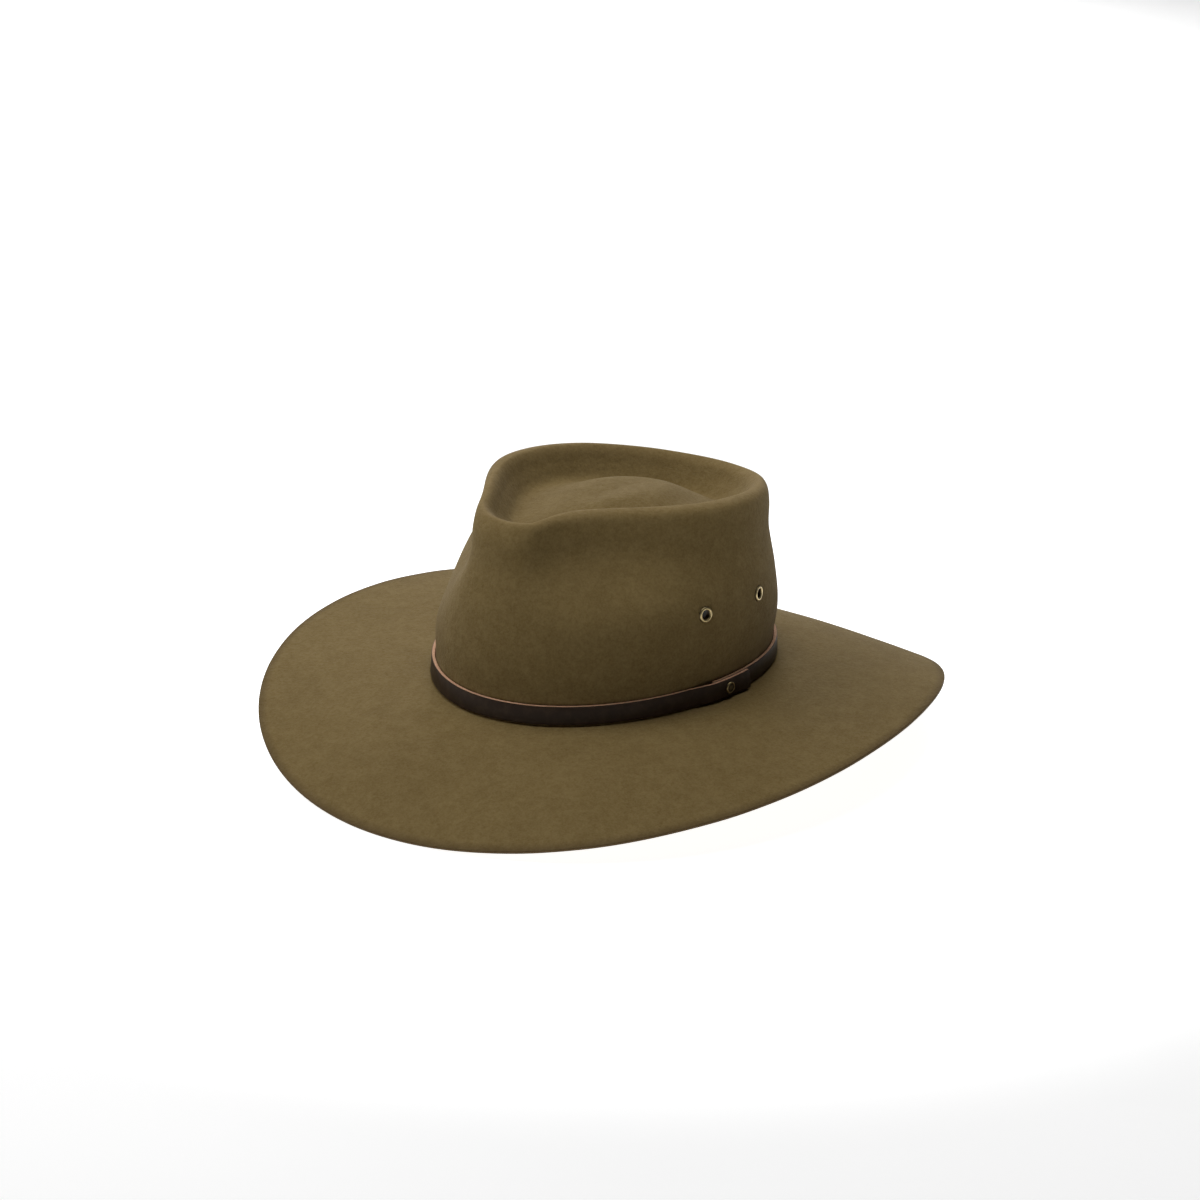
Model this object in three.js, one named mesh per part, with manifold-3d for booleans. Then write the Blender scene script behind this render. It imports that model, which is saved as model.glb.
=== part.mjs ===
// A wide-brim hat: one felt body with a teardrop crown, a leather band, its snap and four eyelets.
// Millimetres, +Z up. The front of the hat faces -Y and its wearer's left is +X.
// Angles go round the crown: 0 at the front, a quarter turn at the wearer's left, half a turn at the back.
import * as THREE from "three";
import { mergeVertices } from "three/addons/utils/BufferGeometryUtils.js";
import Module from "manifold-3d";

const wasm = await Module();
wasm.setup();

const degree = THREE.MathUtils.DEG2RAD;
const fullTurn = 2 * Math.PI;

// Felt body: the size of the crown's foot, where the brim turns out, and the wall of the felt.
const headLength = 206.8;
const headWidth = 170.4;
const feltThickness = 2;
const foldReach = 2.5;
const feltSides = 64;
const brimRows = 6;

// Sections of the crown from the middle of its dome down to its foot. Front, back and side are how far a
// section reaches from the crown's axis. The pinches are the share of its width lost beside the nose of the
// crown, on the wearer's left and right. Slope is its share of the top's slope, and rows is the number of
// rows of facets from it to the next one.
const crownSections = [
  { name: "centre", height: 97.2, front: -14, back: 14, side: 0,
    leftPinch: 0.3, rightPinch: 0.3, slope: 0, rows: 1 },
  { name: "dome", height: 96.9, front: 20, back: 43, side: 19,
    leftPinch: 0.3, rightPinch: 0.25, slope: 0.3, rows: 2 },
  { name: "domeEdge", height: 89.3, front: 49, back: 66, side: 37.5,
    leftPinch: 0.38, rightPinch: 0.2, slope: 0.7, rows: 2 },
  { name: "moat", height: 86, front: 60.5, back: 76, side: 53,
    leftPinch: 0.44, rightPinch: 0.23, slope: 0.9, rows: 2 },
  { name: "wall", height: 92.2, front: 69.5, back: 85, side: 61.5,
    leftPinch: 0.5, rightPinch: 0.25, slope: 1, rows: 2 },
  { name: "lip", height: 98.8, front: 75.8, back: 91.8, side: 67.3,
    leftPinch: 0.58, rightPinch: 0.27, slope: 1, rows: 1 },
  { name: "rimTop", height: 101.1, front: 80.2, back: 97.2, side: 71.7,
    leftPinch: 0.56, rightPinch: 0.27, slope: 1, rows: 1 },
  { name: "crest", height: 98.9, front: 84, back: 97.7, side: 78.7,
    leftPinch: 0.51, rightPinch: 0.32, slope: 1, rows: 1 },
  { name: "shoulder", height: 91.2, front: 88.3, back: 97.8, side: 81.4,
    leftPinch: 0.52, rightPinch: 0.39, slope: 1, rows: 2 },
  { name: "upperWall", height: 77.5, front: 91, back: 96.2, side: 83.4,
    leftPinch: 0.46, rightPinch: 0.44, slope: 0.85, rows: 3 },
  { name: "midWall", height: 56, front: 97.5, back: 98.7, side: 88.8,
    leftPinch: 0.08, rightPinch: 0.25, slope: 0.5, rows: 3 },
  { name: "lowerWall", height: 32, front: 102, back: 104, side: 88.1,
    leftPinch: 0.02, rightPinch: 0.06, slope: 0.15, rows: 2 },
  { name: "bandTop", height: 12, front: 101.9, back: 102.9, side: 84.8,
    leftPinch: 0, rightPinch: 0, slope: 0, rows: 1 },
  { name: "foot", height: 0, front: headLength / 2, back: headLength / 2, side: headWidth / 2,
    leftPinch: 0, rightPinch: 0, slope: 0, rows: 0 },
];
const pinchAngle = 40.5 * degree;
const pinchReach = 32 * degree;
const footRiseFades = 57;

// Waves round the hat: each row adds cos and sin millimetres, so many times in a turn.
const topSlope = [
  { times: 1, cos: 6.2, sin: 1.7 },
  { times: 2, cos: -3.9, sin: -0.2 },
];
const footRise = [
  { times: 1, cos: 1.5, sin: 0 },
  { times: 2, cos: -1.5, sin: 0 },
];
const brimWidth = [
  { times: 0, cos: 95.8, sin: 0 },
  { times: 2, cos: 3.1, sin: 0 },
];
const brimEdgeHeight = [
  { times: 0, cos: -19, sin: 0 },
  { times: 1, cos: 4.3, sin: -2.9 },
  { times: 2, cos: -15.8, sin: -6 },
  { times: 3, cos: 2.4, sin: 1.05 },
  { times: 4, cos: -1.7, sin: 0 },
];
const brimStraightShare = 0.31;

// Leather band: its under end lies at the wearer's left, and it goes round by the back, the right and the
// front to its outer end, which laps over the under end.
const bandHeight = 10;
const bandThickness = 2;
const bandFoot = 1.2;
const bandGap = 0.85;
const bandUnderEnd = 85 * degree;
const bandOverlap = 15 * degree;
const bandStep = 5 * degree;
const bandLapGap = 0.3;
const bandLapRise = 10 * degree;

// Snap: a domed cap on a post that goes through both ends of the band.
const snapAngle = 90.3 * degree;
const snapCapRadius = 3.3;
const snapCapEdge = 0.4;
const snapShoulderRadius = 2.5;
const snapShoulderHeight = 1.2;
const snapCapHeight = 1.4;
const snapPostRadius = 1.2;
const seatGap = 0.5;

// Eyelets: a rolled flange outside, a washer inside and a barrel through the felt.
const eyeletFrontAngle = 80 * degree;
const eyeletBackAngle = 106.8 * degree;
const eyeletHeight = 51.2;
const eyeletBore = 2.4;
const eyeletBarrel = 2.8;
const eyeletFlange = 4.4;
const eyeletFlangeHeight = 1.1;
const eyeletShoulderHeight = 0.7;
const eyeletShoulderInset = 0.2;
const eyeletWasher = 3.9;
const eyeletWasherThickness = 0.5;
const eyeletGap = 0.8;
const smallSides = 16;
const drillLength = 16;

// The hat lies on the low front and back of its brim, turned by these angles from its own axes.
const restPitch = 1.94 * degree;
const restRoll = -0.6 * degree;

const finishes = {
  felt: { color: 0x6f6143, roughness: 0.95, metalness: 0 },
  leather: { color: 0x33231e, roughness: 0.5, metalness: 0 },
  brass: { color: 0x8a7446, roughness: 0.4, metalness: 1 },
};

const columns = ["height", "front", "back", "side", "leftPinch", "rightPinch", "slope"];
const footAlong = crownSections.length - 1;
const crownCurve = new THREE.CubicInterpolant(
  crownSections.map((section, index) => index),
  crownSections.flatMap((section) => columns.map((column) => section[column])),
  columns.length,
);

function wave(table, angle) {
  return table.reduce(
    (sum, row) => sum + row.cos * Math.cos(row.times * angle) + row.sin * Math.sin(row.times * angle),
    0,
  );
}

function bump(distance) {
  return Math.exp(-distance * distance);
}

// Outward direction of an oval of the given half length and half width, seen from above.
function ovalOutward(angle, halfLength, halfWidth) {
  return new THREE.Vector3(halfLength * Math.sin(angle), -halfWidth * Math.cos(angle), 0).normalize();
}

function crownPoint(angle, along) {
  const [height, front, back, side, leftPinch, rightPinch, slope] = crownCurve.evaluate(along);
  const fromFront = Math.abs(THREE.MathUtils.euclideanModulo(angle + Math.PI, fullTurn) - Math.PI);
  const halfLength = (front + back) / 2;
  const pinch = Math.sin(angle) >= 0 ? leftPinch : rightPinch;
  const width = side * (1 - pinch * bump((fromFront - pinchAngle) / pinchReach));
  const rise = wave(footRise, angle) * Math.max(0, 1 - height / footRiseFades);
  return new THREE.Vector3(
    width * Math.sin(angle),
    (back - front) / 2 - halfLength * Math.cos(angle),
    height + slope * wave(topSlope, angle) + rise,
  );
}

// Out is 0 at the crown's foot and 1 at the brim's edge.
function brimPoint(angle, out) {
  const point = new THREE.Vector3((headWidth / 2) * Math.sin(angle), (-headLength / 2) * Math.cos(angle), 0);
  point.addScaledVector(ovalOutward(angle, headLength, headWidth), out * wave(brimWidth, angle));
  const edgeShare = brimStraightShare * out + (1 - brimStraightShare) * out * out;
  point.z = wave(footRise, angle) * (1 - out) + wave(brimEdgeHeight, angle) * edgeShare;
  return point;
}

// The whole upper side of the felt: along runs from 0 at the dome's centre to the crown's foot, then one
// more to the brim's edge. The sharp corner at the foot is rounded off into a small fold.
const foldStart = footAlong - foldReach / crownSections[footAlong - 1].height;
const foldEnd = footAlong + foldReach / brimWidth[0].cos;

function upperPoint(angle, along) {
  if (along <= foldStart) return crownPoint(angle, along);
  if (along >= foldEnd) return brimPoint(angle, along - footAlong);
  const fold = new THREE.QuadraticBezierCurve3(
    crownPoint(angle, foldStart),
    brimPoint(angle, 0),
    brimPoint(angle, foldEnd - footAlong),
  );
  return fold.getPoint((along - foldStart) / (foldEnd - foldStart));
}

function upperNormal(angle, along) {
  if (along === 0) return new THREE.Vector3(0, 0, 1);
  const step = 1e-3;
  const round = upperPoint(angle + step, along).sub(upperPoint(angle - step, along));
  const down = upperPoint(angle, along + step).sub(upperPoint(angle, along - step));
  return down.cross(round).normalize();
}

function feltPoint(angle, along, depth) {
  return upperPoint(angle, along).addScaledVector(upperNormal(angle, along), -depth);
}

function feltRows() {
  const rows = [];
  crownSections.forEach((section, index) => {
    for (let step = 0; step < section.rows; step++) {
      rows.push(index + step / section.rows);
    }
  });
  rows.push(foldStart, (foldStart + foldEnd) / 2);
  for (let step = 0; step <= brimRows; step++) {
    rows.push(THREE.MathUtils.lerp(foldEnd, footAlong + 1, step / brimRows));
  }
  return rows;
}

function solidOf(geometry) {
  const bare = geometry.clone();
  bare.deleteAttribute("normal");
  bare.deleteAttribute("uv");
  const merged = mergeVertices(bare);
  return new wasm.Manifold(
    new wasm.Mesh({
      numProp: 3,
      vertProperties: merged.attributes.position.array,
      triVerts: new Uint32Array(merged.index.array),
    }),
  );
}

function geometryOf(solid) {
  const mesh = solid.getMesh();
  const geometry = new THREE.BufferGeometry();
  geometry.setAttribute("position", new THREE.BufferAttribute(mesh.vertProperties, 3));
  geometry.setIndex(new THREE.BufferAttribute(mesh.triVerts, 1));
  geometry.computeVertexNormals();
  return geometry;
}

// A round cutter whose axis lies along a seat's outward direction.
function drillAt(seat, radius) {
  const cutter = new THREE.CylinderGeometry(radius, radius, drillLength, smallSides);
  cutter.applyQuaternion(seat.turn);
  cutter.translate(seat.place.x, seat.place.y, seat.place.z);
  return solidOf(cutter);
}

function seatOn(place, outward) {
  const turn = new THREE.Quaternion().setFromUnitVectors(new THREE.Vector3(0, 1, 0), outward);
  return { place, turn };
}

// Where along the crown's wall its section has a given height, found by halving.
function alongAtHeight(height) {
  let low = crownSections.findIndex((section) => section.name === "shoulder");
  let high = footAlong;
  while (high - low > 1e-4) {
    const middle = (low + high) / 2;
    if (crownCurve.evaluate(middle)[0] > height) low = middle;
    else high = middle;
  }
  return low;
}

function eyeletSeat(angle) {
  const along = alongAtHeight(eyeletHeight);
  return seatOn(upperPoint(angle, along), upperNormal(angle, along));
}

// A lathe makes the round hat, and blocking then moves each of its corners to its place on the felt.
function feltBody(eyeletSeats) {
  const rows = feltRows();
  const layers = [
    ...rows.map((along) => ({ along, depth: feltThickness })),
    ...rows.toReversed().map((along) => ({ along, depth: 0 })),
  ];
  const profile = layers.map(({ along, depth }) => {
    const point = feltPoint(fullTurn / 4, along, depth);
    return new THREE.Vector2(along === 0 ? 0 : point.x, point.z);
  });
  const shell = new THREE.LatheGeometry(profile, feltSides);
  const corners = shell.attributes.position;
  for (let index = 0; index < corners.count; index++) {
    const angle = (fullTurn * Math.floor(index / layers.length)) / feltSides;
    const { along, depth } = layers[index % layers.length];
    const point = feltPoint(angle, along, depth);
    corners.setXYZ(index, point.x, point.y, point.z);
  }
  const holeRadius = eyeletBarrel + seatGap;
  const holes = eyeletSeats.map((seat) => drillAt(seat, holeRadius));
  return geometryOf(holes.reduce((felt, hole) => felt.subtract(hole), solidOf(shell)));
}

// A place beside the crown's foot, so far out from the felt and so far up from the fold.
function bandPoint(angle, out, up) {
  const bandTop = crownSections[footAlong - 1];
  const lean = up / bandTop.height;
  const front = THREE.MathUtils.lerp(headLength / 2, bandTop.front, lean);
  const back = THREE.MathUtils.lerp(headLength / 2, bandTop.back, lean);
  const side = THREE.MathUtils.lerp(headWidth / 2, bandTop.side, lean);
  const halfLength = (front + back) / 2;
  const point = new THREE.Vector3(
    side * Math.sin(angle),
    (back - front) / 2 - halfLength * Math.cos(angle),
    up + wave(footRise, angle),
  );
  return point.addScaledVector(ovalOutward(angle, halfLength, side), out);
}

// How far the band stands off the felt at an angle counted from its under end.
function bandStandOff(turned) {
  const lap = THREE.MathUtils.smoothstep(turned, fullTurn - bandLapRise, fullTurn);
  return bandGap + lap * (bandThickness + bandLapGap);
}

function snapSeat() {
  const turned = snapAngle - bandUnderEnd + fullTurn;
  const out = bandStandOff(turned) + bandThickness;
  const place = bandPoint(snapAngle, out, bandFoot + bandHeight / 2);
  return seatOn(place, ovalOutward(snapAngle, headLength, headWidth));
}

// A straight strap, bent round the crown's foot step by step.
function leatherBand(seat) {
  const section = new THREE.Shape([
    new THREE.Vector2(0, 0),
    new THREE.Vector2(bandHeight, 0),
    new THREE.Vector2(bandHeight, bandThickness),
    new THREE.Vector2(0, bandThickness),
  ]);
  const wholeTurn = fullTurn + bandOverlap;
  const strap = new THREE.ExtrudeGeometry(section, {
    depth: wholeTurn,
    steps: Math.round(wholeTurn / bandStep),
    bevelEnabled: false,
  });
  const corners = strap.attributes.position;
  for (let index = 0; index < corners.count; index++) {
    const turned = corners.getZ(index);
    const out = bandStandOff(turned) + corners.getY(index);
    const point = bandPoint(bandUnderEnd + turned, out, bandFoot + corners.getX(index));
    corners.setXYZ(index, point.x, point.y, point.z);
  }
  return geometryOf(solidOf(strap).subtract(drillAt(seat, snapPostRadius + seatGap)));
}

function latheOf(points) {
  return new THREE.LatheGeometry(
    points.map(([radius, height]) => new THREE.Vector2(radius, height)),
    smallSides,
  );
}

function snapCap() {
  const postEnd = -(2 * bandThickness + bandLapGap);
  return latheOf([
    [0, postEnd],
    [snapPostRadius, postEnd],
    [snapPostRadius, seatGap],
    [snapCapRadius, seatGap],
    [snapCapRadius, seatGap + snapCapEdge],
    [snapShoulderRadius, seatGap + snapShoulderHeight],
    [0, seatGap + snapCapHeight],
  ]);
}

function eyelet() {
  const washerTop = -(feltThickness + eyeletGap);
  const washerFoot = washerTop - eyeletWasherThickness;
  const middle = (eyeletBore + eyeletFlange) / 2;
  const crest = eyeletGap + eyeletFlangeHeight;
  return latheOf([
    [eyeletBore, washerFoot],
    [eyeletWasher, washerFoot],
    [eyeletWasher, washerTop],
    [eyeletBarrel, washerTop],
    [eyeletBarrel, eyeletGap],
    [eyeletFlange, eyeletGap],
    [eyeletFlange - eyeletShoulderInset, eyeletGap + eyeletShoulderHeight],
    [middle, crest],
    [eyeletBore + eyeletShoulderInset, eyeletGap + eyeletShoulderHeight],
    [eyeletBore, washerFoot],
  ]);
}

function piece(name, geometry, finish, seat) {
  const mesh = new THREE.Mesh(geometry, new THREE.MeshStandardMaterial(finish));
  mesh.name = name;
  if (seat) {
    mesh.position.copy(seat.place);
    mesh.quaternion.copy(seat.turn);
  }
  return mesh;
}

const eyeletSeats = {
  eyelet_left_front: eyeletSeat(eyeletFrontAngle),
  eyelet_left_back: eyeletSeat(eyeletBackAngle),
  eyelet_right_front: eyeletSeat(-eyeletFrontAngle),
  eyelet_right_back: eyeletSeat(-eyeletBackAngle),
};
const snap = snapSeat();

const hat = new THREE.Group();
hat.add(piece("felt_body", feltBody(Object.values(eyeletSeats)), finishes.felt));
hat.add(piece("hat_band", leatherBand(snap), finishes.leather));
hat.add(piece("band_snap", snapCap(), finishes.brass, snap));
for (const [name, seat] of Object.entries(eyeletSeats)) {
  hat.add(piece(name, eyelet(), finishes.brass, seat));
}

// Laid down as it rests, with the middle of its plan at the origin and its lowest point at z = 0.
hat.rotation.set(restPitch, restRoll, 0);
const box = new THREE.Box3().setFromObject(hat, true);
const middle = box.getCenter(new THREE.Vector3());
hat.position.set(-middle.x, -middle.y, -box.min.z);

export default hat;
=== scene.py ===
from functools import lru_cache
from math import atan2, cos, exp, hypot, pi, radians, sin, tau

import bmesh
import bpy
from mathutils import Matrix, Vector, noise


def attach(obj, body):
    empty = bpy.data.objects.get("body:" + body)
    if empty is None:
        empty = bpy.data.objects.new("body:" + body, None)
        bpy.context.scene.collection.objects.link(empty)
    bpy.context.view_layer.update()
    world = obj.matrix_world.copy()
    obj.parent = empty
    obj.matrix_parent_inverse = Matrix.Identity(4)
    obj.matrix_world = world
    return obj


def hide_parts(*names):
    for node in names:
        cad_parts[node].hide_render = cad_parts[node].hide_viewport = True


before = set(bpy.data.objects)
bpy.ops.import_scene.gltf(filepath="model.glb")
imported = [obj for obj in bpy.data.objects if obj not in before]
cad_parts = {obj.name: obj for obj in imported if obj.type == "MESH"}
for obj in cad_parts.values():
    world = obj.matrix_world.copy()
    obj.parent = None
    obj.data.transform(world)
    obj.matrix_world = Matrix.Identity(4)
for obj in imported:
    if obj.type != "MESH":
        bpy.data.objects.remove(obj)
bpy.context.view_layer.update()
print("frame loaded:", ", ".join(sorted(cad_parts)))

# Where the hat lies: it rests on the front and back of its brim, so its own axes are turned a little.
rest = {"pitch": 1.94, "roll": -0.6, "place": (-0.0513, -1.2356, 38.958)}
hatMatrix = (
    Matrix.Diagonal((0.001, 0.001, 0.001, 1))
    @ Matrix.Translation(rest["place"])
    @ Matrix.Rotation(radians(rest["pitch"]), 4, "X")
    @ Matrix.Rotation(radians(rest["roll"]), 4, "Y")
)

# Shape of the felt
felt = {
    "headLength": 206.8,
    "headWidth": 170.4,
    "thickness": 2.0,
    "foldReach": 2.5,  # radius of the fold between crown and brim
    "edgeRound": 0.55,  # rounding of the raw cut edge
    "sides": 256,
    "rowsPerSection": 8,
    "foldRows": 6,
    "brimRows": 20,
    "edgeTurns": (22, 45, 68, 90),  # degrees round the upper half of the cut edge
    "pinchAngle": 40.5,
    "pinchReach": 32,
    "footRiseFades": 57,
    "brimStraightShare": 0.31,
    "wallStart": 8.0,  # from this section on the crown only goes down
    "unevenness": 0.3,  # how far handling has pushed the felt in and out
    "unevennessSize": 34,
    # The felt is even beside the band: round this height, and no farther out than the reach.
    "evenHeight": 5,
    "evenFades": (8, 30),
    "evenReach": 112,
    "cutStart": 0.985,  # share of the brim's width where the cut edge gets darker: the raw felt's own darker colour, and painted shade on the edge that faces down
    "highlightAlong": 5.9,  # the crown's rim, in sections, where a painted highlight makes the felt lighter
    "highlightReach": 1.0,
}

# Sections of the crown from the dome's centre to the foot. The pinch is the share of its width lost
# beside its nose.
# height, front, back, side, pinch on the left, pinch on the right, slope
crownSections = [
    (97.2, -14, 14, 0, 0.3, 0.3, 0),  # centre
    (96.9, 20, 43, 19, 0.3, 0.25, 0.3),  # dome
    (89.3, 49, 66, 37.5, 0.38, 0.2, 0.7),  # edge of the dome
    (86, 60.5, 76, 53, 0.44, 0.23, 0.9),  # moat
    (92.2, 69.5, 85, 61.5, 0.5, 0.25, 1),  # wall of the recess
    (98.8, 75.8, 91.8, 67.3, 0.58, 0.27, 1),  # lip
    (101.1, 80.2, 97.2, 71.7, 0.56, 0.27, 1),  # top of the rim
    (98.9, 84, 97.7, 78.7, 0.51, 0.32, 1),  # crest
    (91.2, 88.3, 97.8, 81.4, 0.52, 0.39, 1),  # shoulder
    (77.5, 91, 96.2, 83.4, 0.46, 0.44, 0.85),  # upper wall
    (56, 97.5, 98.7, 88.8, 0.08, 0.25, 0.5),  # middle of the wall
    (32, 102, 104, 88.1, 0.02, 0.06, 0.15),  # lower wall
    (12, 101.9, 102.9, 84.8, 0, 0, 0),  # top of the band
    (0, 103.4, 103.4, 85.2, 0, 0, 0),  # foot
]
# Waves round the hat: times in a turn, cosine part, sine part.
topSlope = [(1, 6.2, 1.7), (2, -3.9, -0.2)]
footRise = [(1, 1.5, 0), (2, -1.5, 0)]
brimWidth = [(0, 95.8, 0), (2, 3.1, 0)]
brimEdgeHeight = [(0, -19, 0), (1, 4.3, -2.9), (2, -15.8, -6), (3, 2.4, 1.05), (4, -1.7, 0)]

footAlong = len(crownSections) - 1
foldStart = footAlong - felt["foldReach"] / crownSections[-2][0]
foldEnd = footAlong + felt["foldReach"] / brimWidth[0][1]


def wave(table, angle):
    return sum(c * cos(times * angle) + s * sin(times * angle) for times, c, s in table)


def bump(distance):
    return exp(-distance * distance)


def smooth(value, low, high):
    share = min(1, max(0, (value - low) / (high - low)))
    return share * share * (3 - 2 * share)


@lru_cache(maxsize=None)
def crownSection(along):
    # a smooth curve through the rows of the table
    index = min(int(along), footAlong - 1)
    u = along - index
    second, third = crownSections[index], crownSections[index + 1]
    first = crownSections[index - 1] if index else [2 * a - b for a, b in zip(second, third)]
    if index + 2 <= footAlong:
        fourth = crownSections[index + 2]
    else:
        fourth = [2 * b - a for a, b in zip(second, third)]
    return [
        b + 0.5 * u * (c - a + u * (2 * a - 5 * b + 4 * c - d + u * (3 * b - a - 3 * c + d)))
        for a, b, c, d in zip(first, second, third, fourth)
    ]


def ovalOutward(angle, halfLength, halfWidth):
    return Vector((halfLength * sin(angle), -halfWidth * cos(angle), 0)).normalized()


def crownPoint(angle, along):
    height, front, back, side, leftPinch, rightPinch, slope = crownSection(along)
    fromFront = abs((angle + pi) % tau - pi)
    halfLength = (front + back) / 2
    pinch = leftPinch if sin(angle) >= 0 else rightPinch
    nearPinch = bump((fromFront - radians(felt["pinchAngle"])) / radians(felt["pinchReach"]))
    rise = wave(footRise, angle) * max(0, 1 - height / felt["footRiseFades"])
    return Vector((
        side * (1 - pinch * nearPinch) * sin(angle),
        (back - front) / 2 - halfLength * cos(angle),
        height + slope * wave(topSlope, angle) + rise,
    ))


def brimPoint(angle, out):
    length, width = felt["headLength"], felt["headWidth"]
    point = Vector((width / 2 * sin(angle), -length / 2 * cos(angle), 0))
    point += out * wave(brimWidth, angle) * ovalOutward(angle, length, width)
    share = felt["brimStraightShare"]
    edgeShare = share * out + (1 - share) * out * out
    point.z = wave(footRise, angle) * (1 - out) + wave(brimEdgeHeight, angle) * edgeShare
    return point


def upperPoint(angle, along):
    if along <= foldStart:
        return crownPoint(angle, along)
    if along >= foldEnd:
        return brimPoint(angle, along - footAlong)
    u = (along - foldStart) / (foldEnd - foldStart)
    start, end = crownPoint(angle, foldStart), brimPoint(angle, foldEnd - footAlong)
    return (1 - u) ** 2 * start + 2 * u * (1 - u) * brimPoint(angle, 0) + u * u * end


@lru_cache(maxsize=None)
def upperPlace(angle, along):
    # a point of the felt's upper side and the direction out of it
    point = upperPoint(angle, along)
    if along < 1e-6:
        return point, Vector((0, 0, 1))
    step = 1e-3
    across = upperPoint(angle + step, along) - upperPoint(angle - step, along)
    down = upperPoint(angle, along + step) - upperPoint(angle, along - step)
    return point, down.cross(across).normalized()


def alongAtHeight(height):
    low, high = felt["wallStart"], float(footAlong)
    while high - low > 1e-4:
        middle = (low + high) / 2
        if crownSection(middle)[0] > height:
            low = middle
        else:
            high = middle
    return low


# Helpers for the pieces
def pieceFrom(bm, name, nodes, materials):
    # closes a bmesh into an object at the origin, riding on the hat's body
    mesh = bpy.data.meshes.new(name)
    bm.to_mesh(mesh)
    bm.free()
    for material in materials:
        mesh.materials.append(material)
    mesh.shade_smooth()
    piece = bpy.data.objects.new(name, mesh)
    bpy.context.scene.collection.objects.link(piece)
    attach(piece, "root")
    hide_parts(*nodes)
    print("made", name, "with", len(mesh.polygons), "faces")


def spunProfile(bm, points, sides, layer=None):
    # spins a chain of (radius, height) points once round Z, and merges the seam and the poles
    chain = []
    for radius, height, *value in points:
        vertex = bm.verts.new((0, -radius, height))
        if layer:
            vertex[layer] = value[0]
        chain.append(vertex)
    edges = [bm.edges.new(pair) for pair in zip(chain, chain[1:])]
    bmesh.ops.spin(
        bm, geom=chain + edges, cent=(0, 0, 0), axis=(0, 0, 1), dvec=(0, 0, 0),
        angle=tau, steps=sides, use_merge=True, use_duplicate=False,
    )
    bmesh.ops.remove_doubles(bm, verts=bm.verts, dist=1e-5)
    bmesh.ops.recalc_face_normals(bm, faces=bm.faces)


# Eyelets: their places are shared with the holes in the felt
eyelets = {
    "places": {
        "eyelet_left_front": 80,
        "eyelet_left_back": 106.8,
        "eyelet_right_front": -80,
        "eyelet_right_back": -106.8,
    },
    "height": 51.2,
    "bore": 2.4,
    "barrel": 2.8,
    "barrelTop": -0.5,
    "flange": 4.4,
    "flangeUnder": 4.3,
    "flangeHeight": 1.0,
    "rollStep": 15,  # degrees
    "rollEnd": -1.2,
    # the inner end, rolled out over a washer: radius, height over the felt's inner side, shine
    "innerEnd": [
        (2.4, -0.2, 0), (2.55, -0.5, 0.3), (3.0, -0.65, 0.6), (3.6, -0.55, 0.6), (3.9, -0.3, 0.4),
        (3.8, -0.02, 0), (2.8, -0.02, 0),
    ],
    "holeRadius": 3.1,
    "holeMargin": 0.5,  # how much farther the blank is cleared before its hole is drawn in
    "sides": 48,
    "pressed": 0.35,  # how deep the flange is pressed into the felt
    "pressedReach": 5.5,
    "pressedEnd": 3,  # the press has faded out at so many reaches
}
eyeletAlong = alongAtHeight(eyelets["height"])
eyeletSeats = {
    name: upperPlace(radians(angle), eyeletAlong) for name, angle in eyelets["places"].items()
}


# Felt body
def feltProfile():
    # the flat blank's half section: distance from the centre along the felt, and depth in it
    rows = []
    for index in range(footAlong - 1):
        for step in range(felt["rowsPerSection"]):
            rows.append(index + step / felt["rowsPerSection"])
    for step in range(felt["rowsPerSection"]):
        rows.append(footAlong - 1 + (foldStart - footAlong + 1) * step / felt["rowsPerSection"])
    for step in range(felt["foldRows"]):
        rows.append(foldStart + (foldEnd - foldStart) * step / felt["foldRows"])
    edgeRound, thickness = felt["edgeRound"], felt["thickness"]
    roundAlong = edgeRound / brimWidth[0][1]
    for step in range(felt["brimRows"] + 1):
        rows.append(foldEnd + (footAlong + 1 - roundAlong - foldEnd) * step / felt["brimRows"])
    upper = [(along, 0.0) for along in rows]
    corner = [
        (footAlong + 1 - roundAlong * (1 - sin(turn)), -edgeRound * (1 - cos(turn)))
        for turn in map(radians, felt["edgeTurns"])
    ]
    lowerCorner = [(along, -thickness - height) for along, height in reversed(corner)]
    lower = [(along, -thickness) for along in reversed(rows)]
    return upper + corner + lowerCorner + lower


def punchHole(bm, angle, along):
    # clears the blank round an eyelet and rounds what is left to the hole's edge
    step = 1e-3
    across = (upperPoint(angle + step, along) - upperPoint(angle, along)).length / step
    down = (upperPoint(angle, along + step) - upperPoint(angle, along)).length / step
    radius, margin = eyelets["holeRadius"], eyelets["holeMargin"]

    def onFelt(vertex):
        turned = (atan2(vertex.co.x, -vertex.co.y) - angle + pi) % tau - pi
        return Vector((turned * across, (hypot(vertex.co.x, vertex.co.y) - along) * down))

    inside = [vertex for vertex in bm.verts if onFelt(vertex).length < radius + margin]
    bmesh.ops.delete(bm, geom=inside, context="VERTS")
    edges = [edge for edge in bm.edges if edge.is_boundary]
    made = bmesh.ops.extrude_edge_only(bm, edges=edges)["geom"]
    for vertex in made:
        if isinstance(vertex, bmesh.types.BMVert):
            turned, out = onFelt(vertex).normalized() * radius
            turned, out = angle + turned / across, along + out / down
            vertex.co.x, vertex.co.y = out * sin(turned), -out * cos(turned)
    rim = [edge for edge in made if isinstance(edge, bmesh.types.BMEdge) and edge.is_boundary]
    bmesh.ops.bridge_loops(bm, edges=rim)


def handling(point):
    # slow unevenness of felt shaped by hand, none of it under the band
    away = 1
    if hypot(point.x, point.y) < felt["evenReach"]:
        away = smooth(abs(point.z - felt["evenHeight"]), *felt["evenFades"])
    return felt["unevenness"] * away * noise.noise(point / felt["unevennessSize"])


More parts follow.
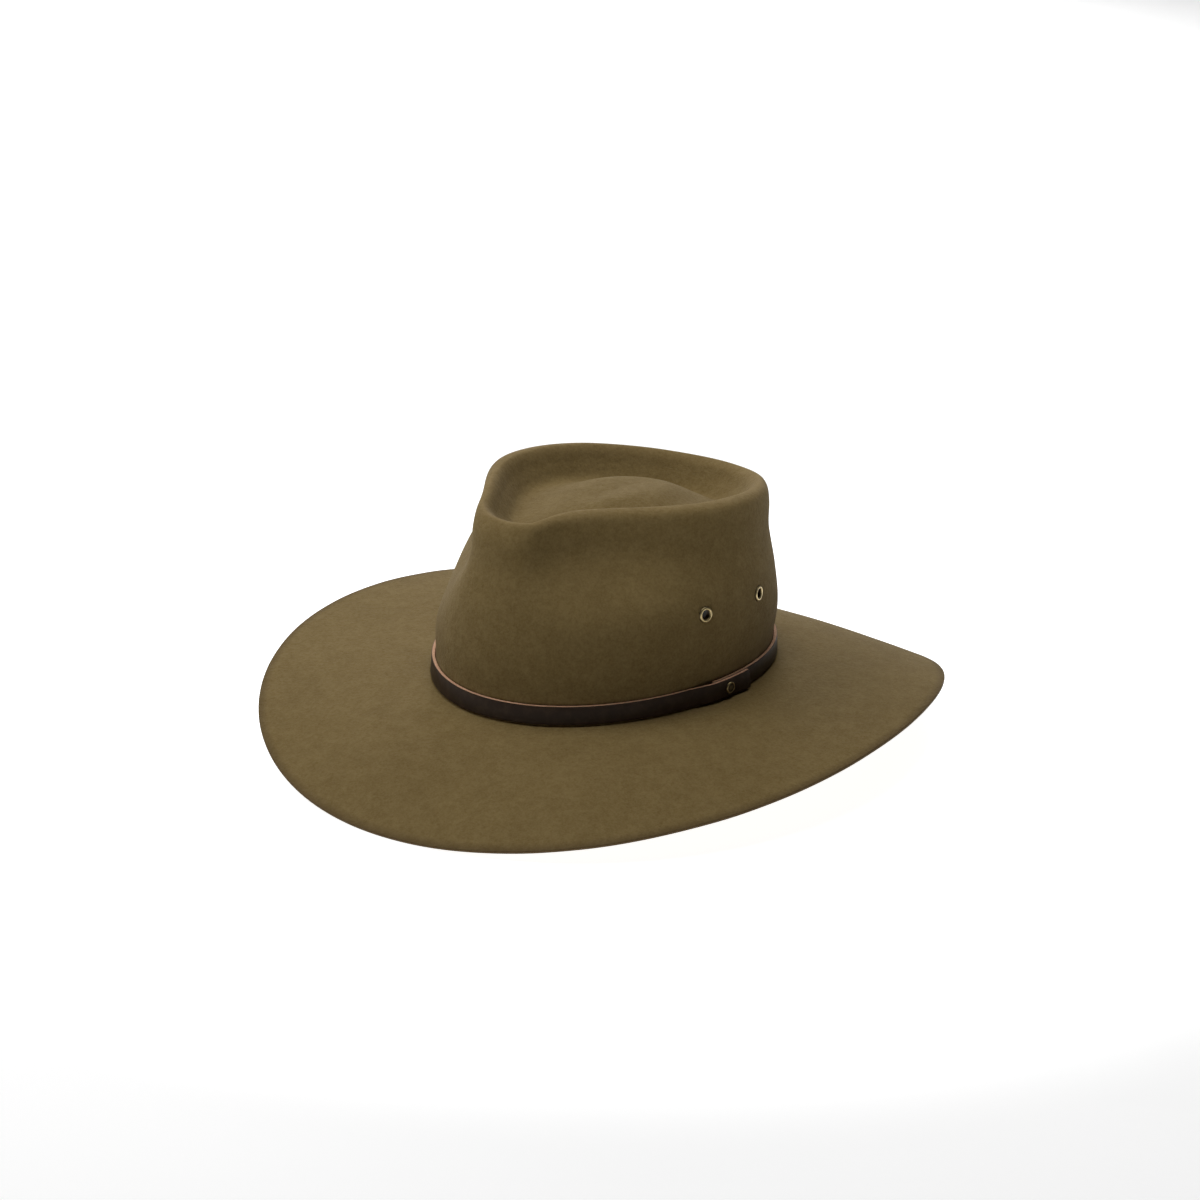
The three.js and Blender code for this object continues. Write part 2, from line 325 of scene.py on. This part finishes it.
def blockFelt(bm):
    # moves each point of the flat blank to its place on the hat
    cut = bm.verts.layers.float.new("cut")
    wearAndHighlight = bm.verts.layers.float.new("wearAndHighlight")
    sides = felt["sides"]
    for vertex in bm.verts:
        along = round(hypot(vertex.co.x, vertex.co.y), 4)
        turned = atan2(vertex.co.x, -vertex.co.y)
        steps = turned * sides / tau
        if abs(steps - round(steps)) < 1e-3:
            turned = round(steps) % sides * tau / sides
        point, outward = upperPlace(turned, along)
        # the cut edge is darker: the raw felt's own colour, and painted shade on the edge that faces down
        vertex[cut] = smooth(along, footAlong + felt["cutStart"], footAlong + 1)
        # painted highlight: lighter felt along the top of the crown's rim
        vertex[wearAndHighlight] = bump((along - felt["highlightAlong"]) / felt["highlightReach"])
        depth = -vertex.co.z - handling(point)
        for place, _ in eyeletSeats.values():
            near = (point - place).length / eyelets["pressedReach"]
            if near < eyelets["pressedEnd"]:
                depth += eyelets["pressed"] * bump(near)
        vertex.co = hatMatrix @ (point - depth * outward)


def feltBody(materials):
    bm = bmesh.new()
    spunProfile(bm, feltProfile(), felt["sides"])
    for angle in eyelets["places"].values():
        punchHole(bm, radians(angle), eyeletAlong)
    bmesh.ops.recalc_face_normals(bm, faces=bm.faces)
    blockFelt(bm)
    pieceFrom(bm, "feltHood", ["felt_body"], materials)


# Leather band
band = {
    "height": 10,
    "thickness": 2,
    "foot": 1.2,  # height of its lower edge over the fold
    "gap": 0.3,
    "underEnd": 85,
    "overlap": 15,
    "lapGap": 0.2,
    "lapRise": 10,
    "tipLift": 1.2,  # how far the lower edge of the outer end stands off, over so many degrees
    "tipReach": 8,
    "edgeRound": 0.35,
    "edgeSegments": 3,
    "dyeMargin": 0.01,
    "meanRadius": 94,
    "cuts": 260,
}


def bandPoint(angle, out, up):
    lean = up / crownSections[-2][0]
    front, back, side = (
        foot + lean * (top - foot)
        for foot, top in zip(crownSections[-1][1:4], crownSections[-2][1:4])
    )
    halfLength = (front + back) / 2
    point = Vector((
        side * sin(angle),
        (back - front) / 2 - halfLength * cos(angle),
        up + wave(footRise, angle),
    ))
    return point + out * ovalOutward(angle, halfLength, side)


def bandStandOff(turned):
    lap = smooth(turned, tau - radians(band["lapRise"]), tau)
    return band["gap"] + lap * (band["thickness"] + band["lapGap"])


def bandTipLift(turned):
    end = tau + radians(band["overlap"])
    return band["tipLift"] * smooth(turned, end - radians(band["tipReach"]), end)


def leatherBand(materials):
    # a flat strap with eased edges, bent round the foot of the crown
    height, thickness, radius = band["height"], band["thickness"], band["meanRadius"]
    length = radius * radians(360 + band["overlap"])
    bm = bmesh.new()
    bmesh.ops.create_cube(bm, size=1)
    bmesh.ops.translate(bm, verts=bm.verts, vec=(0.5, 0.5, 0.5))
    bmesh.ops.scale(bm, verts=bm.verts, vec=(length, thickness, height))
    bmesh.ops.bevel(
        bm, geom=bm.edges[:], offset=band["edgeRound"], segments=band["edgeSegments"],
        profile=0.5, affect="EDGES", material=-1,
    )
    long = [edge for edge in bm.edges if abs(edge.verts[0].co.x - edge.verts[1].co.x) > length / 2]
    bmesh.ops.subdivide_edges(bm, edges=long, cuts=band["cuts"], use_grid_fill=True)
    raw = bm.verts.layers.float.new("raw")
    for vertex in bm.verts:
        # the face and its eased edges are dyed, and the rest of the leather is raw
        dyed = vertex.co.y > thickness - band["edgeRound"] + band["dyeMargin"]
        vertex[raw] = 0 if dyed else 1
        turned = vertex.co.x / radius
        lift = bandTipLift(turned) * (1 - vertex.co.z / height)
        out = bandStandOff(turned) + lift + vertex.co.y
        point = bandPoint(radians(band["underEnd"]) + turned, out, band["foot"] + vertex.co.z)
        vertex.co = hatMatrix @ point
    bmesh.ops.recalc_face_normals(bm, faces=bm.faces)
    pieceFrom(bm, "leatherStrap", ["hat_band"], materials)


# Snap on the overlap
snap = {
    "angle": 90.3,
    "sides": 40,
    # radius, height over the leather, and how much of the brass shines through
    "profile": [
        (0, -0.4, 0), (2.9, -0.4, 0), (3.15, 0.05, 0), (3.3, 0.35, 0.2), (3.22, 0.8, 0.5),
        (2.95, 1.1, 0.7), (2.6, 1.12, 0.5), (2.35, 0.95, 0.15), (2.2, 0.82, 0), (1.9, 0.84, 0.05),
        (1.2, 0.95, 0.15), (0.6, 1.0, 0.2), (0, 1.02, 0.2),
    ],
}


def seatMatrix(place, outward):
    return Matrix.Translation(place) @ outward.to_track_quat("Z", "Y").to_matrix().to_4x4()


def brassPiece(name, node, profile, sides, seat, materials):
    bm = bmesh.new()
    shine = bm.verts.layers.float.new("shine")
    spunProfile(bm, profile, sides, shine)
    bmesh.ops.transform(bm, matrix=hatMatrix @ seat, verts=bm.verts)
    pieceFrom(bm, name, [node], materials)


def snapCap(materials):
    angle = radians(snap["angle"])
    turned = angle - radians(band["underEnd"]) + tau
    out = bandStandOff(turned) + band["thickness"]
    place = bandPoint(angle, out, band["foot"] + band["height"] / 2)
    outward = ovalOutward(angle, felt["headLength"], felt["headWidth"])
    seat = seatMatrix(place, outward)
    brassPiece("snapCap", "band_snap", snap["profile"], snap["sides"], seat, materials)


def eyeletProfile():
    # radius, height over the felt before it is pressed in, and how much of the brass shines through
    bore, flange, pressed = eyelets["bore"], eyelets["flange"], eyelets["pressed"]
    middle, half = (bore + flange) / 2, (flange - bore) / 2
    roll = []
    for degrees in range(0, 181, eyelets["rollStep"]):  # from the flange's outer edge over to the bore
        turn = radians(degrees)
        height = -pressed + eyelets["flangeHeight"] * sin(turn)
        roll.append((middle + half * cos(turn), height, sin(turn) ** 2))
    foot = -felt["thickness"] - pressed
    innerEnd = [(radius, foot + height, shine) for radius, height, shine in eyelets["innerEnd"]]
    barrelTop = (eyelets["barrel"], eyelets["barrelTop"], 0)
    flangeUnder = (eyelets["flangeUnder"], eyelets["barrelTop"], 0)
    return [barrelTop, flangeUnder, *roll, (bore, eyelets["rollEnd"], 0), *innerEnd, barrelTop]


# Node groups shared by the materials
def makeGroup(name, inputs, outputs):
    group = bpy.data.node_groups.new(name, "ShaderNodeTree")
    for label, kind, value in inputs:
        socket = group.interface.new_socket(label, in_out="INPUT", socket_type=kind)
        if value is not None:
            socket.default_value = value
    for label, kind in outputs:
        group.interface.new_socket(label, in_out="OUTPUT", socket_type=kind)
    start = group.nodes.new("NodeGroupInput")
    end = group.nodes.new("NodeGroupOutput")
    return group, start, end


def addNode(tree, kind, links=(), **values):
    # adds a node; links are (input name, output socket) and values set its properties
    node = tree.nodes.new(kind)
    for name, value in values.items():
        setattr(node, name, value)
    for name, source in links:
        tree.links.new(source, node.inputs[name])
    return node


def makePatches():
    # soft patches, from 0 to 1, of a noise of the given size
    group, start, end = makeGroup(
        "patches",
        [("Vector", "NodeSocketVector", None), ("Scale", "NodeSocketFloat", 25.0),
         ("Detail", "NodeSocketFloat", 3.0), ("Low", "NodeSocketFloat", 0.35),
         ("High", "NodeSocketFloat", 0.65)],
        [("Mask", "NodeSocketFloat")],
    )
    cloud = addNode(group, "ShaderNodeTexNoise", [
        ("Vector", start.outputs["Vector"]), ("Scale", start.outputs["Scale"]),
        ("Detail", start.outputs["Detail"]),
    ])
    cloud.inputs["Roughness"].default_value = 0.6
    spread = addNode(group, "ShaderNodeMapRange", [
        ("Value", cloud.outputs["Fac"]), ("From Min", start.outputs["Low"]),
        ("From Max", start.outputs["High"]),
    ], interpolation_type="SMOOTHSTEP")
    group.links.new(spread.outputs["Result"], end.inputs["Mask"])
    return group


def makeGrain():
    # a fine height: tangled fibres where Pores is 0, leather pores where it is 1
    group, start, end = makeGroup(
        "grain",
        [("Vector", "NodeSocketVector", None), ("Scale", "NodeSocketFloat", 900.0),
         ("Pores", "NodeSocketFloat", 0.0)],
        [("Height", "NodeSocketFloat")],
    )
    fibres = addNode(group, "ShaderNodeTexNoise", [
        ("Vector", start.outputs["Vector"]), ("Scale", start.outputs["Scale"]),
    ])
    fibres.inputs["Detail"].default_value = 4
    fibres.inputs["Distortion"].default_value = 1.2
    pores = addNode(group, "ShaderNodeTexVoronoi", [
        ("Vector", start.outputs["Vector"]), ("Scale", start.outputs["Scale"]),
    ])
    either = addNode(group, "ShaderNodeMix", [("Factor", start.outputs["Pores"])])
    group.links.new(fibres.outputs["Fac"], either.inputs["A"])
    group.links.new(pores.outputs["Distance"], either.inputs["B"])
    group.links.new(either.outputs["Result"], end.inputs["Height"])
    return group


patches, grain = makePatches(), makeGrain()


def placeGroup(tree, group, vector, **values):
    node = tree.nodes.new("ShaderNodeGroup")
    node.node_tree = group
    tree.links.new(vector, node.inputs["Vector"])
    for name, value in values.items():
        node.inputs[name].default_value = value
    return node


def mixColours(tree, factor, first, second):
    # first and second are colours or colour sockets
    node = addNode(tree, "ShaderNodeMix", [("Factor", factor)], data_type="RGBA")
    for name, colour in (("A", first), ("B", second)):
        socket = [s for s in node.inputs if s.name == name and s.type == "RGBA"][0]
        if isinstance(colour, tuple):
            socket.default_value = (*colour, 1)
        else:
            tree.links.new(colour, socket)
    return [s for s in node.outputs if s.type == "RGBA"][0]


def scaled(tree, value, factor, add=0.0):
    node = addNode(tree, "ShaderNodeMath", operation="MULTIPLY_ADD")
    tree.links.new(value, node.inputs[0])
    node.inputs[1].default_value, node.inputs[2].default_value = factor, add
    return node.outputs["Value"]


def newMaterial(name):
    material = bpy.data.materials.new(name)
    material.use_nodes = True
    tree = material.node_tree
    shader = tree.nodes["Principled BSDF"]
    place = tree.nodes.new("ShaderNodeTexCoord").outputs["Object"]
    return material, tree, shader, place


def addBump(tree, shader, heights, distance, strength):
    # heights are (socket, share); their sum is the height of the bump
    total = None
    for socket, share in heights:
        part = scaled(tree, socket, share)
        if total is not None:
            total = addNode(tree, "ShaderNodeMath", [(0, total), (1, part)], operation="ADD").outputs[0]
        else:
            total = part
    node = addNode(tree, "ShaderNodeBump", [("Height", total)])
    node.inputs["Distance"].default_value = distance
    node.inputs["Strength"].default_value = strength
    tree.links.new(node.outputs["Normal"], shader.inputs["Normal"])


# Felt finish
feltFinish = {
    "colour": (0.156, 0.107, 0.037),
    "darker": (0.099, 0.063, 0.018),
    "lighter": (0.212, 0.152, 0.063),
    # colour of the cut edge: the raw felt's own darker colour with painted shade
    "cutEdgeColourAndShade": (0.060, 0.036, 0.015),
    # colour of the painted highlight on the crown's rim
    "rimHighlightColour": (0.270, 0.190, 0.085),
    "sheen": 0.1,
    "sheenRoughness": 0.5,
    "sheenTint": (0.78, 0.64, 0.42),
    "specular": 0.15,
    "bumpDepth": 0.0004,
    "bumpStrength": 0.55,
}


def feltMaterial():
    material, tree, shader, place = newMaterial("brushedFelt")
    blotches = placeGroup(tree, patches, place, Scale=22.0, Detail=2.0, Low=0.35, High=0.65)
    flecks = placeGroup(tree, patches, place, Scale=420.0, Detail=5.0, Low=0.3, High=0.75)
    tufts = placeGroup(tree, patches, place, Scale=110.0, Detail=3.0, Low=0.38, High=0.62)
    fuzz = placeGroup(tree, patches, place, Scale=950.0, Detail=2.0, Low=0.35, High=0.65)
    base, darker, lighter = feltFinish["colour"], feltFinish["darker"], feltFinish["lighter"]
    colour = mixColours(tree, scaled(tree, blotches.outputs[0], 0.3), base, darker)
    colour = mixColours(tree, scaled(tree, tufts.outputs[0], 0.3), colour, lighter)
    colour = mixColours(tree, scaled(tree, flecks.outputs[0], 0.5), colour, darker)
    colour = mixColours(tree, scaled(tree, fuzz.outputs[0], 0.3), colour, lighter)
    # painted highlight along the top of the crown's rim
    wearAndHighlight = addNode(tree, "ShaderNodeAttribute", attribute_name="wearAndHighlight").outputs["Fac"]
    colour = mixColours(tree, scaled(tree, wearAndHighlight, 0.25), colour, feltFinish["rimHighlightColour"])
    # darker cut edge: the raw felt's own colour and painted shade
    cut = addNode(tree, "ShaderNodeAttribute", attribute_name="cut").outputs["Fac"]
    colour = mixColours(tree, scaled(tree, cut, 0.8), colour, feltFinish["cutEdgeColourAndShade"])
    tree.links.new(colour, shader.inputs["Base Color"])
    tree.links.new(scaled(tree, flecks.outputs[0], 0.1, 0.85), shader.inputs["Roughness"])
    nap = placeGroup(tree, grain, place, Scale=1300.0, Pores=0.0)
    heights = [(nap.outputs[0], 0.6), (flecks.outputs[0], 0.7), (tufts.outputs[0], 0.5)]
    addBump(tree, shader, heights, feltFinish["bumpDepth"], feltFinish["bumpStrength"])
    shader.inputs["Specular IOR Level"].default_value = feltFinish["specular"]
    shader.inputs["Sheen Weight"].default_value = feltFinish["sheen"]
    shader.inputs["Sheen Roughness"].default_value = feltFinish["sheenRoughness"]
    shader.inputs["Sheen Tint"].default_value = (*feltFinish["sheenTint"], 1)
    return material


# Leather finish
leatherFinish = {
    "face": (0.028, 0.016, 0.009),
    "faceWorn": (0.046, 0.028, 0.015),
    "raw": (0.64, 0.385, 0.245),
    "rawDark": (0.40, 0.21, 0.125),
    "specular": 0.12,
    "bumpDepth": 0.0002,
    "bumpStrength": 0.3,
}


def leatherMaterial():
    material, tree, shader, place = newMaterial("strapLeather")
    wear = placeGroup(tree, patches, place, Scale=160.0, Detail=4.0, Low=0.42, High=0.7)
    fibres = placeGroup(tree, patches, place, Scale=900.0, Detail=3.0, Low=0.3, High=0.7)
    wearAndHighlight = scaled(tree, wear.outputs[0], 0.7)
    face = mixColours(tree, wearAndHighlight, leatherFinish["face"], leatherFinish["faceWorn"])
    patchy = scaled(tree, fibres.outputs[0], 0.6)
    edge = mixColours(tree, patchy, leatherFinish["raw"], leatherFinish["rawDark"])
    raw = addNode(tree, "ShaderNodeAttribute", attribute_name="raw").outputs["Fac"]
    colour = mixColours(tree, raw, face, edge)
    tree.links.new(colour, shader.inputs["Base Color"])
    tree.links.new(scaled(tree, raw, 0.4, 0.42), shader.inputs["Roughness"])
    pores = placeGroup(tree, grain, place, Scale=1500.0, Pores=1.0)
    heights = [(pores.outputs[0], 0.5), (wear.outputs[0], 0.3)]
    addBump(tree, shader, heights, leatherFinish["bumpDepth"], leatherFinish["bumpStrength"])
    shader.inputs["Specular IOR Level"].default_value = leatherFinish["specular"]
    return material


# Brass finish
brassFinish = {
    "bright": (0.62, 0.49, 0.25),
    "tarnish": (0.035, 0.024, 0.012),
}


def brassMaterial():
    material, tree, shader, place = newMaterial("antiqueBrass")
    stains = placeGroup(tree, patches, place, Scale=700.0, Detail=3.0, Low=0.3, High=0.7)
    shine = addNode(tree, "ShaderNodeAttribute", attribute_name="shine").outputs["Fac"]
    kept = scaled(tree, stains.outputs[0], -0.35, 1.05)
    wearAndHighlight = addNode(
        tree, "ShaderNodeMath", [(0, shine), (1, kept)], operation="MULTIPLY", use_clamp=True,
    ).outputs[0]
    colour = mixColours(tree, wearAndHighlight, brassFinish["tarnish"], brassFinish["bright"])
    tree.links.new(colour, shader.inputs["Base Color"])
    tree.links.new(scaled(tree, wearAndHighlight, -0.4, 0.6), shader.inputs["Roughness"])
    shader.inputs["Metallic"].default_value = 1
    return material


# The pieces are made here
feltBody([feltMaterial()])
leatherBand([leatherMaterial()])
brass = brassMaterial()
snapCap([brass])
for name, (place, outward) in eyeletSeats.items():
    pieceName = name.replace("eyelet_", "rolledEyelet_")
    brassPiece(pieceName, name, eyeletProfile(), eyelets["sides"], seatMatrix(place, outward), [brass])

# Floor, light and camera
studio = {
    # The photo's ground is white even in the shade, so the floor near the hat gives off light of its own.
    "nearColour": (0.6, 0.6, 0.6),
    "farColour": (0.85, 0.85, 0.85),
    "nearGlow": (0.95, 0.95, 0.95),
    "farGlow": (0.22, 0.22, 0.22),
    "nearEnd": (0.3, 0.5),  # near turns into far between these distances from the hat's middle
    "shadeSpot": (-0.074, 0.173, 0),  # painted shade: the bit of ground that is seen through an eyelet is black and gives off no light, so the bore looks dark
    "shadeSpotEnd": (0.007, 0.013),
    "shadeSpotColour": (0.01, 0.01, 0.01),
    "worldColour": (1.0, 0.99, 0.97),
    "worldStrength": 0.002,
    "floorHalf": 15,
    "floorRoughness": 0.9,
    "lampAim": (0, 0, 0.07),
    "lampDistance": 2.2,
    "lampSize": 1.2,
    # azimuth from the hat's front, elevation, power in watts
    "lamps": {
        "topLamp": (0, 90, 27),
        "frontRightLamp": (-48, 50, 14.5),
        "rightLamp": (-93, 50, 8),
        "lowRightLamp": (-93, 20, 3.5),
        "backRightLamp": (-138, 20, 16.8),
        "backLamp": (177, 50, 2.5),
    },
}


def towards(azimuth, elevation):
    # azimuth 0 is the hat's front, 90 its wearer's left
    a, e = radians(azimuth), radians(elevation)
    return Vector((sin(a) * cos(e), -cos(a) * cos(e), sin(e)))


def farFrom(tree, place, middle, ends):
    # 0 near a point, 1 far from it, with a soft step between two distances
    away = addNode(tree, "ShaderNodeVectorMath", operation="DISTANCE")
    tree.links.new(place, away.inputs[0])
    away.inputs[1].default_value = middle
    step = addNode(
        tree, "ShaderNodeMapRange", [("Value", away.outputs["Value"])], interpolation_type="SMOOTHSTEP",
    )
    step.inputs["From Min"].default_value, step.inputs["From Max"].default_value = ends
    return step.outputs["Result"]


def makeStudio():
    bm = bmesh.new()
    bmesh.ops.create_grid(bm, x_segments=1, y_segments=1, size=studio["floorHalf"])
    mesh = bpy.data.meshes.new("floor")
    bm.to_mesh(mesh)
    bm.free()
    floor = bpy.data.objects.new("floor", mesh)
    bpy.context.scene.collection.objects.link(floor)
    material, tree, shader, place = newMaterial("paleFloor")
    shader.inputs["Roughness"].default_value = studio["floorRoughness"]
    far = farFrom(tree, place, (0, 0, 0), studio["nearEnd"])
    glow = mixColours(tree, far, studio["nearGlow"], studio["farGlow"])
    ground = mixColours(tree, far, studio["nearColour"], studio["farColour"])
    # painted shade: a black, unlit spot on the ground where it is seen through an eyelet
    outsideShadeSpot = farFrom(tree, place, studio["shadeSpot"], studio["shadeSpotEnd"])
    tree.links.new(
        mixColours(tree, outsideShadeSpot, studio["shadeSpotColour"], ground), shader.inputs["Base Color"],
    )
    tree.links.new(mixColours(tree, outsideShadeSpot, (0, 0, 0), glow), shader.inputs["Emission Color"])
    shader.inputs["Emission Strength"].default_value = 1
    mesh.materials.append(material)
    world = bpy.data.worlds.new("studio")
    world.use_nodes = True
    background = world.node_tree.nodes["Background"]
    background.inputs["Color"].default_value = (*studio["worldColour"], 1)
    background.inputs["Strength"].default_value = studio["worldStrength"]
    bpy.context.scene.world = world
    for name, (azimuth, elevation, power) in studio["lamps"].items():
        lamp = bpy.data.lights.new(name, "AREA")
        lamp.shape, lamp.size, lamp.energy = "DISK", studio["lampSize"], power
        holder = bpy.data.objects.new(name, lamp)
        toLamp = towards(azimuth, elevation)
        holder.location = Vector(studio["lampAim"]) + studio["lampDistance"] * toLamp
        holder.rotation_euler = (-toLamp).to_track_quat("-Z", "Y").to_euler()
        bpy.context.scene.collection.objects.link(holder)
    bpy.context.scene.view_settings.view_transform = "Standard"
    print("studio ready")


# The camera stands in the hat's own axes, looks at the foot of the crown and is moved sideways and up.
camera = {
    "azimuth": 42,
    "elevation": 21.35,
    "distance": 2131.8,
    "sideways": -2.88,
    "up": 32.56,
    "lens": 115.5,
    "sensor": 36,
    "clip": (0.05, 60),
}


def makeCamera():
    back = towards(camera["azimuth"], camera["elevation"])
    right = Vector((cos(radians(camera["azimuth"])), sin(radians(camera["azimuth"])), 0))
    up = back.cross(right)
    place = camera["sideways"] * right + camera["up"] * up + camera["distance"] * back
    lens = bpy.data.cameras.new("photoCamera")
    lens.lens, lens.sensor_width = camera["lens"], camera["sensor"]
    lens.clip_start, lens.clip_end = camera["clip"]
    holder = bpy.data.objects.new("photoCamera", lens)
    turn = hatMatrix.to_3x3().normalized() @ Matrix((right, up, back)).transposed()
    holder.matrix_world = Matrix.Translation(hatMatrix @ place) @ turn.to_4x4()
    bpy.context.scene.collection.objects.link(holder)
    bpy.context.scene.camera = holder
    print("camera ready")


makeStudio()
makeCamera()
